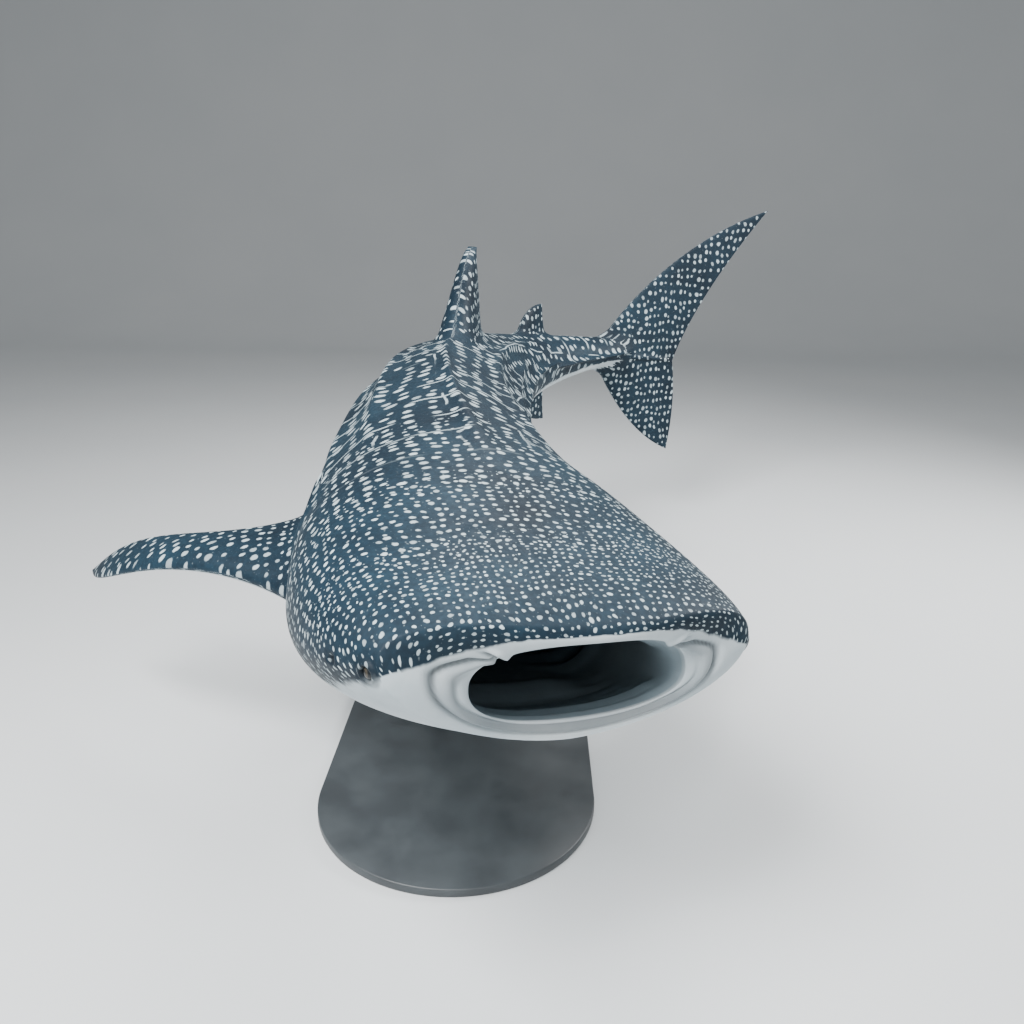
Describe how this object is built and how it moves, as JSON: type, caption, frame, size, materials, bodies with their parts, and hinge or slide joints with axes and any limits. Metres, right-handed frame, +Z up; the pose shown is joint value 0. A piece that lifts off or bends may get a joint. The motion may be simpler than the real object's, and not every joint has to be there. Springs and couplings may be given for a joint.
{
  "type": "whale shark model on a display stand",
  "caption": "Life-size whale shark swimming with its mouth open and its body curved to the left, held over a flat plate by two rods.",
  "frame": {"origin": "centre of the stand base's underside, on the floor", "axes": "+Z up; the snout points to -Y, the shark's left side lies to +X, and the tail bends round towards +X"},
  "size_m": [5.4357, 4.3014, 2.7676],
  "materials": {
    "skin": "wet, fine-grained skin, dark blue-grey with pale spots and bars above, white below",
    "eye": "wet and glossy",
    "stand": "satin powder coat"
  },
  "bodies": {
    "root": {"head_upper": "skin", "lower_jaw": "skin", "eye_left": "eye", "eye_right": "eye", "gill_region": "skin", "trunk_front": "skin", "trunk_mid": "skin", "trunk_rear": "skin", "tail_stock": "skin", "first_dorsal_fin": "skin", "second_dorsal_fin": "skin", "anal_fin": "skin", "caudal_fin_upper": "skin", "caudal_fin_lower": "skin", "pectoral_fin_left": "skin", "pelvic_fin_left": "skin", "pectoral_fin_right": "skin", "pelvic_fin_right": "skin", "stand_base": "stand", "stand_rod_front": "stand", "stand_rod_rear": "stand"}
  },
  "joints": []
}
